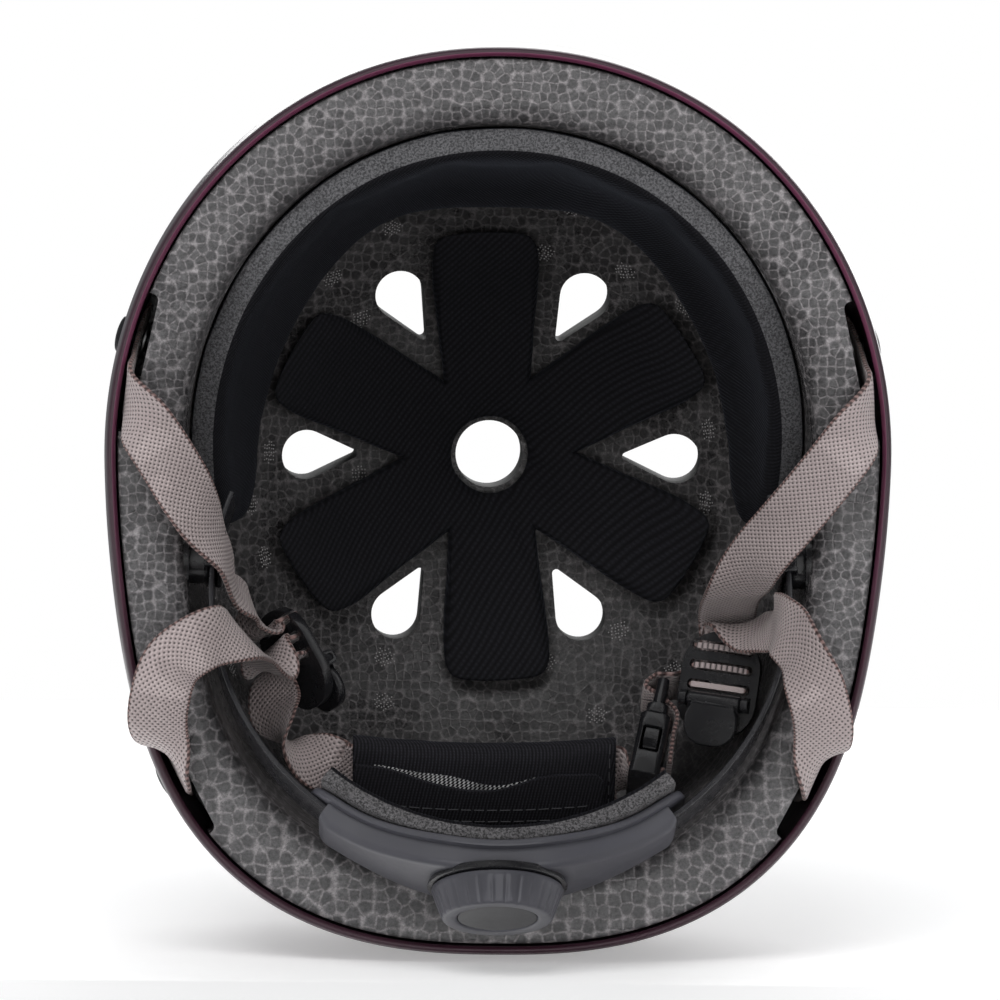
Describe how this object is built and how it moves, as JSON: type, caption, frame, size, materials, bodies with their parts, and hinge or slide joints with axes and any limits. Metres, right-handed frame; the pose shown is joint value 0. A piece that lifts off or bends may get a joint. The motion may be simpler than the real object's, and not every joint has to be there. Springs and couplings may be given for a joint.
{
  "type": "skate helmet",
  "caption": "Hard-shell skate helmet with vented foam liner, fit pads, webbing harness, side-release buckle and a dial-adjusted rear cradle.",
  "frame": {"origin": "middle of the head opening, level with the lowest point of the rear rim", "axes": "+Z to the crown, -Y to the brow, +X to the wearer's left"},
  "size_m": [0.2132, 0.2459, 0.1845],
  "materials": {
    "shell": "satin moulded",
    "foam": "expanded bead foam",
    "steel": "brushed",
    "pad_cloth": "knitted",
    "hook_tape": "hook tape",
    "webbing": "woven",
    "black_plastic": "moulded",
    "grey_plastic": "moulded satin",
    "band_plastic": "moulded",
    "strip_foam": "cut foam",
    "pinion_plastic": "moulded"
  },
  "bodies": {
    "helmet": {"outer_shell": "shell", "foam_liner": "foam", "strap_rivets": "steel", "rivet_washers": "steel", "crown_pad": "pad_cloth", "crown_pad_hooks": "hook_tape", "brow_pad": "pad_cloth", "brow_pad_hooks": "hook_tape", "left_front_strap": "webbing", "left_rear_strap": "webbing", "right_front_strap": "webbing", "right_rear_strap": "webbing", "left_divider": "black_plastic", "right_divider": "black_plastic", "left_lever_pin": "steel", "right_lever_pin": "steel", "left_chin_strap": "webbing", "right_chin_strap": "webbing", "chin_pad": "pad_cloth", "chin_pad_flap": "pad_cloth", "buckle_socket": "black_plastic", "temple_sockets": "black_plastic"},
    "fit_cradle": {"cradle_frame": "grey_plastic", "cradle_cover": "grey_plastic", "cradle_strip": "strip_foam", "left_temple_anchor": "black_plastic", "right_temple_anchor": "black_plastic", "detent_spring": "steel"},
    "left_band": {"left_band": "band_plastic"},
    "right_band": {"right_band": "band_plastic"},
    "dial": {"dial_knob": "grey_plastic", "dial_cap": "black_plastic", "dial_screw": "steel", "dial_pinion": "pinion_plastic"},
    "left_lever": {"left_divider_lever": "black_plastic"},
    "right_lever": {"right_divider_lever": "black_plastic"},
    "buckle_tongue": {"buckle_tongue": "black_plastic", "buckle_prongs": "black_plastic"}
  },
  "joints": [
    {"name": "fit_tilt", "type": "hinge", "parent": "helmet", "child": "fit_cradle", "pos_m": [0, 0.01676, 0.02104], "axis": [-1, 0, 0], "range_deg": [-1, 9]},
    {"name": "dial_turn", "type": "hinge", "parent": "fit_cradle", "child": "dial", "pos_m": [0, 0.099, -0.01731], "axis": [0, 0.9063, -0.4226], "range_deg": [-75, 150]},
    {"name": "left_band_run", "type": "hinge", "parent": "fit_cradle", "child": "left_band", "pos_m": [0, 0.0265, 0.0165], "axis": [0, 0.4226, 0.9063], "range_deg": [-9, 5]},
    {"name": "right_band_run", "type": "hinge", "parent": "fit_cradle", "child": "right_band", "pos_m": [0, 0.0265, 0.0165], "axis": [0, 0.4226, 0.9063], "range_deg": [-5, 9]},
    {"name": "left_lever_open", "type": "hinge", "parent": "helmet", "child": "left_lever", "pos_m": [-0.04946, 0.0483, 0.04353], "axis": [0.4648, -0.4087, -0.7854], "range_deg": [0, 75]},
    {"name": "right_lever_open", "type": "hinge", "parent": "helmet", "child": "right_lever", "pos_m": [0.06019, 0.05532, 0.03294], "axis": [-0.9489, -0.103, 0.2982], "range_deg": [0, 75]},
    {"name": "buckle_release", "type": "slide", "parent": "helmet", "child": "buckle_tongue", "axis": [0.2069, -0.8172, 0.5379], "range_m": [0, 0.02], "deforming": ["buckle_prongs", "right_chin_strap"]}
  ],
  "couplings": [
    {"joint": "left_band_run", "follows": "dial_turn", "ratio": -0.051948},
    {"joint": "right_band_run", "follows": "dial_turn", "ratio": 0.050826}
  ]
}
